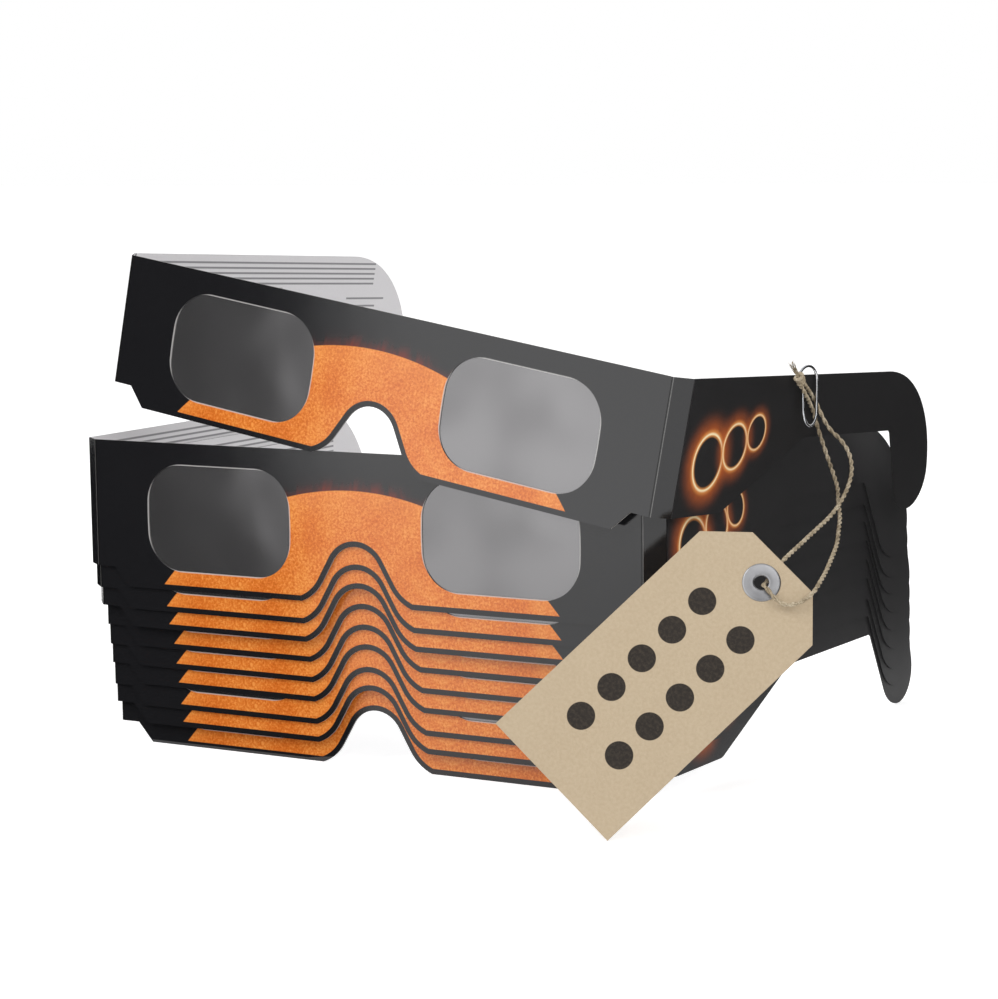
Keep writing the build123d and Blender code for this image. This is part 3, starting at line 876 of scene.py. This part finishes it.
@dataclass
class TwineLoop:
    """The tag's twine: two plies twisted along one route, with its knot and stray fibres."""

    diameter: float = 0.0010
    twist: float = 0.0042
    ply_share: float = 0.56
    step: float = 0.00035
    sides: int = 8
    uneven_scale: float = 0.55
    uneven_shift: float = 7.0
    uneven_share: float = 0.10
    knot_out: Place = (0.0, -0.72, 0.69)
    knot_start: float = 0.0006
    knot_foot: float = 0.0003
    knot_rise: float = 0.0019
    wrap_turns: float = 2.6
    wrap_points: int = 90
    wrap_reach: float = 0.00075
    wrap_uneven: float = 0.00010
    wrap_wave: float = 1.7
    wrap_radius: float = 0.00044
    seed: int = 4
    strays: int = 34
    stray_points: int = 8
    stray_sides: int = 4
    stray_foot: float = 0.0012
    stray_spread: float = 0.0011
    stray_reach: Span = (0.0040, 0.0066)
    stray_share: float = 0.92
    stray_curl: float = 0.0004
    stray_wave: float = 3.0
    stray_radius: Span = (0.00005, 0.00010)
    stray_taper: float = 0.5
    route: Tuple[Place, ...] = (
        (87.22, 46.51, 13.75), (87.33, 48.71, 11.70), (85.75, 54.59, 9.14),
        (85.05, 58.17, 6.89), (84.94, 60.12, 3.67), (85.92, 60.77, 0.26),
        (87.76, 59.60, -3.26), (90.45, 56.77, -6.55), (93.27, 52.98, -9.34),
        (95.24, 48.37, -11.82), (98.09, 43.13, -14.13), (100.35, 36.97, -16.30),
        (102.87, 30.44, -18.35), (104.94, 22.66, -20.30), (106.92, 15.05, -22.09),
        (107.97, 10.22, -23.03), (108.99, 5.61, -24.05), (108.44, 3.54, -25.36),
        (106.66, 1.64, -26.64), (104.65, 0.16, -26.91), (102.84, -0.29, -25.98),
        (101.31, 0.01, -24.43), (99.71, 0.16, -22.90), (98.66, 2.29, -23.54),
        (99.72, 4.10, -21.53), (101.24, 6.15, -18.67), (100.75, 11.42, -17.78),
        (100.07, 17.93, -16.73), (99.24, 27.00, -15.13), (98.69, 35.92, -13.41),
        (98.02, 42.83, -11.43), (97.18, 48.90, -8.97), (96.15, 53.94, -6.08),
        (94.70, 56.97, -3.46), (92.85, 58.89, -0.99), (90.61, 59.82, 1.07),
        (88.44, 59.91, 2.63), (86.86, 59.59, 5.08), (85.95, 58.51, 8.02),
        (85.49, 57.12, 10.04), (85.68, 55.30, 11.19), (86.51, 51.59, 12.64),
        (87.25, 47.78, 14.42),
    )

    def centreline(self) -> List[Vector]:
        """Points along the route's smooth curve, an even step apart."""
        curve = bpy.data.curves.new("twine_route", "CURVE")
        curve.dimensions = "3D"
        curve.resolution_u = 24
        spline = curve.splines.new("NURBS")
        spline.points.add(len(self.route) - 1)
        for control, place in zip(spline.points, self.route):
            moved = (Vector(place) + Vector(NEST_MOVE)) * MM
            control.co = (*moved, 1.0)
        spline.order_u = 3
        spline.use_endpoint_u = True
        carrier = bpy.data.objects.new("twine_route", curve)
        bpy.context.scene.collection.objects.link(carrier)
        mesh = bpy.data.meshes.new_from_object(carrier)
        points = [vertex.co.copy() for vertex in mesh.vertices]
        bpy.data.objects.remove(carrier)
        bpy.data.meshes.remove(mesh)
        return self.even(points)

    def even(self, points: Sequence[Vector]) -> List[Vector]:
        """The same line with its points an even step apart."""
        runs = [(two - one).length for one, two in zip(points, points[1:])]
        total = sum(runs)
        count = max(2, round(total / self.step))
        spaced = [points[0].copy()]
        index, passed = 0, 0.0
        for number in range(1, count):
            wanted = total * number / count
            while passed + runs[index] < wanted:
                passed += runs[index]
                index += 1
            share = (wanted - passed) / runs[index]
            spaced.append(points[index].lerp(points[index + 1], share))
        spaced.append(points[-1].copy())
        return spaced

    def frames(self, line: Sequence[Vector]) -> List[Tuple[Vector, Vector]]:
        """Two directions square to the line at each point, carried along without twisting."""
        ahead = [(two - one).normalized() for one, two in zip(line, line[1:])]
        ahead.append(ahead[-1])
        side = ahead[0].orthogonal().normalized()
        frames = []
        for direction in ahead:
            side = (side - direction * side.dot(direction)).normalized()
            frames.append((side, direction.cross(side)))
        return frames

    def tube(
        self, work: bmesh.types.BMesh, line: Sequence[Vector], radii: Sequence[float], sides: int
    ) -> None:
        """Adds a closed tube of varying radius along a line to a mesh being made."""
        frames = self.frames(line)
        first = bmesh.ops.create_circle(work, segments=sides, radius=1.0)["verts"]
        loop = [vertex.co.copy() for vertex in first]

        def settle(ring: Sequence[bmesh.types.BMVert], number: int) -> None:
            """Moves one ring of the tube to its place."""
            side, up = frames[number]
            for vertex, flat in zip(ring, loop):
                vertex.co = line[number] + (side * flat.x + up * flat.y) * radii[number]

        settle(first, 0)
        bmesh.ops.contextual_create(work, geom=first)
        ring = list(first)
        for number in range(1, len(line)):
            edges = [work.edges.get((one, two)) for one, two in zip(ring, ring[1:] + ring[:1])]
            made = bmesh.ops.extrude_edge_only(work, edges=edges)["geom"]
            fresh = {item for item in made if isinstance(item, bmesh.types.BMVert)}
            near = [[edge.other_vert(corner) for edge in corner.link_edges] for corner in ring]
            ring = [next(vertex for vertex in beside if vertex in fresh) for beside in near]
            settle(ring, number)
        bmesh.ops.contextual_create(work, geom=ring)

    def plies(self, line: Sequence[Vector]) -> bpy.types.Mesh:
        """The two plies wound round the line, with a light unevenness."""
        work = bmesh.new()
        frames = self.frames(line)
        ply_radius = self.diameter / 2 * self.ply_share
        offset = self.diameter / 2 - ply_radius
        for ply in range(2):
            wound, radii = [], []
            for number, (place, (side, up)) in enumerate(zip(line, frames)):
                angle = math.tau * (number * self.step / self.twist + ply / 2)
                wound.append(place + (side * math.cos(angle) + up * math.sin(angle)) * offset)
                shift = Vector((ply * self.uneven_shift, 0, 0))
                uneven = noise.noise(place / MM * self.uneven_scale + shift)
                radii.append(ply_radius * (1 + self.uneven_share * uneven))
            self.tube(work, wound, radii, self.sides)
        return finished("tag_twine_plies", work)

    def build(self, jute: Jute) -> None:
        line = self.centreline()
        length = sum((two - one).length for one, two in zip(line, line[1:]))
        material = jute.material("jute_twine_finish")
        twine = new_piece("tag_twine_plies", self.plies(line), material)
        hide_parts("tag_twine")
        knot = self.knot(line, material)
        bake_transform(twine)

    def knot(self, line: Sequence[Vector], material: bpy.types.Material) -> bpy.types.Object:
        """The knot under the clip, at the line's ends: wraps of twine and a frayed tuft."""
        work = bmesh.new()
        out = Vector(self.knot_out).normalized()
        side = out.orthogonal().normalized()
        up = out.cross(side)
        start = (line[0] + line[-1]) / 2 + out * self.knot_start
        wraps = []
        for number in range(self.wrap_points):
            share = number / (self.wrap_points - 1)
            angle = math.tau * self.wrap_turns * share
            lift = out * (self.knot_foot + self.knot_rise * share)
            reach = self.wrap_reach + self.wrap_uneven * math.sin(angle * self.wrap_wave)
            wraps.append(start + lift + (side * math.cos(angle) + up * math.sin(angle)) * reach)
        self.tube(work, wraps, [self.wrap_radius] * self.wrap_points, self.sides)
        self.tuft(work, start, out, side)
        mesh = finished("twine_knot_frayed", work)
        knot = new_piece("twine_knot_frayed", mesh, material)
        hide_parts("twine_knot")
        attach(knot, "pair_01_right_temple")
        return knot

    def tuft(self, work: bmesh.types.BMesh, start: Vector, out: Vector, side: Vector) -> None:
        """Adds the frayed fibres that stand out of the knot, with a direction square to them."""
        up = out.cross(side)
        chance = random.Random(self.seed)
        last = self.stray_points - 1
        for _ in range(self.strays):
            spread = chance.uniform(0.0, self.stray_spread)
            angle = chance.uniform(0, math.tau)
            lean = (side * math.cos(angle) + up * math.sin(angle)) * spread
            reach = chance.uniform(*self.stray_reach) * self.stray_share
            curl = chance.uniform(-self.stray_curl, self.stray_curl)
            strand = []
            for number in range(self.stray_points):
                share = number / last
                along = out * (self.stray_foot + reach * share)
                bend = side * curl * math.sin(self.stray_wave * share)
                strand.append(start + along + lean * share * share + bend)
            thick = chance.uniform(*self.stray_radius)
            radii = [thick * (1 - self.stray_taper * n / last) for n in range(self.stray_points)]
            self.tube(work, strand, radii, self.stray_sides)


@dataclass(frozen=True)
class Lamp:
    """A soft square lamp: its place and side in metres and its power in watts."""

    name: str
    place: Place
    size: float
    power: float


@dataclass(frozen=True)
class Reflector:
    """A studio card that only reflections see, lit or black: one corner and its two edges."""

    name: str
    corner: Place
    across: Place
    along: Place
    glow: float = 0.0

    def build(self) -> None:
        """Puts the card in the studio."""
        one, two = Vector(self.across), Vector(self.along)
        square = Matrix((one, two, one.cross(two).normalized())).transposed().to_4x4()
        middle = Vector(self.corner) + (one + two) / 2
        card = plane(self.name, 0.5, Matrix.Translation(middle) @ square)
        card.data.materials.append(
            Shader(f"{self.name}_surface").surface(
                Base_Color=(0.0, 0.0, 0.0), Roughness=1.0, Specular_IOR_Level=0.0,
                Emission_Color=(1.0, 1.0, 1.0), Emission_Strength=self.glow,
            )
        )
        card.visible_camera = False
        card.visible_diffuse = False
        card.visible_shadow = False
        card.visible_transmission = False


def plane(name: str, half: float, place: Matrix) -> bpy.types.Object:
    """Puts a square of a given half width in the scene."""
    work = bmesh.new()
    bmesh.ops.create_grid(work, x_segments=1, y_segments=1, size=half)
    bmesh.ops.transform(work, matrix=place, verts=work.verts)
    mesh = bpy.data.meshes.new(name)
    work.to_mesh(mesh)
    work.free()
    made = bpy.data.objects.new(name, mesh)
    bpy.context.scene.collection.objects.link(made)
    return made


@dataclass(frozen=True)
class Studio:
    """Camera, floor and soft light.

    The reflectors give the glossy card and film a dark left and a light right part.
    """

    lens: float = 104.609
    sensor: float = 36.0
    nearest: float = 0.01
    place: Place = (344.9251, -601.8180, 142.8731)
    right: Place = (0.86454877, 0.50236371, -0.01364293)
    up: Place = (-0.05167294, 0.11586519, 0.99191994)
    back: Place = (0.49988532, -0.85685819, 0.12612971)
    centre: Place = (0.0, -0.01, 0.05)
    floor_half: float = 6.0
    floor_glow: float = 0.55
    world_level: float = 0.62
    lamps: Tuple[Lamp, ...] = (
        Lamp("key", (-0.55, -0.95, 0.95), 0.8, 9.0),
        Lamp("fill", (0.95, -0.55, 0.75), 0.9, 5.0),
    )
    reflectors: Tuple[Reflector, ...] = (
        Reflector("bright_card", (-0.300, -0.467, 0.002), (0.435, 0.0, 0.0), (0.0, 0.0, 0.5), 2.0),
        Reflector("dark_card", (-1.115, -0.467, 0.002), (0.815, 0.0, 0.0), (0.0, 0.0, 0.6)),
        Reflector(
            "dark_floor_left", (-0.012, -0.067, 0.0006), (-0.506, -0.745, 0.0), (-0.662, 0.449, 0.0)
        ),
        Reflector("dark_floor_right", (0.10, -0.02, 0.0006), (1.2, 0.0, 0.0), (0.0, 1.6, 0.0)),
        Reflector("dark_side", (0.70, -0.50, 0.002), (0.0, 1.7, 0.0), (0.0, 0.0, 0.8)),
    )

    def camera(self) -> None:
        """The photograph's view."""
        data = bpy.data.cameras.new("camera")
        data.lens = self.lens
        data.sensor_fit = "HORIZONTAL"
        data.sensor_width = self.sensor
        data.clip_start = self.nearest
        camera = bpy.data.objects.new("camera", data)
        turned = Matrix((self.right, self.up, self.back)).transposed().to_4x4()
        camera.matrix_world = Matrix.Translation(Vector(self.place) * MM) @ turned
        bpy.context.scene.collection.objects.link(camera)
        bpy.context.scene.camera = camera

    def light(self, kind: Lamp) -> None:
        """Hangs one lamp, aimed at the stack."""
        data = bpy.data.lights.new(kind.name, "AREA")
        data.shape = "SQUARE"
        data.size = kind.size
        data.energy = kind.power
        lamp = bpy.data.objects.new(kind.name, data)
        turned = (Vector(self.centre) - Vector(kind.place)).to_track_quat("-Z", "Y")
        lamp.matrix_world = Matrix.Translation(kind.place) @ turned.to_matrix().to_4x4()
        lamp.visible_camera = False
        bpy.context.scene.collection.objects.link(lamp)

    def seen_white(self, tree: bpy.types.NodeTree) -> bpy.types.NodeSocket:
        """1 for rays that should meet a white background: seen, mirrored or through film."""
        path = tree.nodes.new("ShaderNodeLightPath")
        total = path.outputs["Is Camera Ray"]
        for name in ("Is Glossy Ray", "Is Transmission Ray"):
            add = tree.nodes.new("ShaderNodeMath")
            add.operation = "MAXIMUM"
            tree.links.new(total, add.inputs[0])
            tree.links.new(path.outputs[name], add.inputs[1])
            total = add.outputs[0]
        return total

    def world(self) -> None:
        """White behind everything and an even, lower light on it."""
        world = bpy.data.worlds.new("studio")
        bpy.context.scene.world = world
        world.use_nodes = True
        tree = world.node_tree
        tree.nodes.clear()
        output = tree.nodes.new("ShaderNodeOutputWorld")
        backdrop = tree.nodes.new("ShaderNodeBackground")
        backdrop.inputs[0].default_value = (1.0, 1.0, 1.0, 1.0)
        strength = tree.nodes.new("ShaderNodeMapRange")
        tree.links.new(self.seen_white(tree), strength.inputs[0])
        strength.inputs[3].default_value = self.world_level
        strength.inputs[4].default_value = 1.0
        tree.links.new(strength.outputs[0], backdrop.inputs[1])
        tree.links.new(backdrop.outputs[0], output.inputs[0])

    def floor(self) -> None:
        """A wide pale floor that runs to white and keeps a soft shadow."""
        floor = plane("floor", self.floor_half, Matrix())
        shader = Shader("floor_white")
        seen = Signal(shader, self.seen_white(shader.tree))
        floor.data.materials.append(
            shader.surface(
                Base_Color=(0.86, 0.86, 0.86), Roughness=0.9, Specular_IOR_Level=0.1,
                Emission_Color=(1.0, 1.0, 1.0), Emission_Strength=seen * self.floor_glow,
            )
        )

    def build(self) -> None:
        """Sets the view, the floor and the light."""
        bpy.context.scene.view_settings.view_transform = "Standard"
        self.camera()
        self.floor()
        self.world()
        for kind in self.lamps:
            self.light(kind)
        for card in self.reflectors:
            card.build()


EYELET_METAL = Metal(srgb(150, 150, 152), srgb(120, 120, 122), 0.30)
CLIP_METAL = Metal(srgb(214, 215, 218), srgb(176, 178, 182), 0.16)


def main() -> None:
    """Dresses every pair, the tag and the twine, and sets the studio."""
    logging.basicConfig(level=logging.INFO, format="%(message)s")
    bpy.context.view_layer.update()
    Studio().build()
    TwineLoop().build(Jute())
    front, inner, temple, film = PrintedFront(), InnerPly(), TemplePrint(), SolarFilm()
    for number in range(1, PAIR_COUNT + 1):
        Pair(number).dress(front, inner, temple, film)
    Tag().build(KraftCard(), EYELET_METAL)
    dress("paper_clip", CLIP_METAL.material("clip_wire_finish"))


if __name__ == "__main__":
    main()
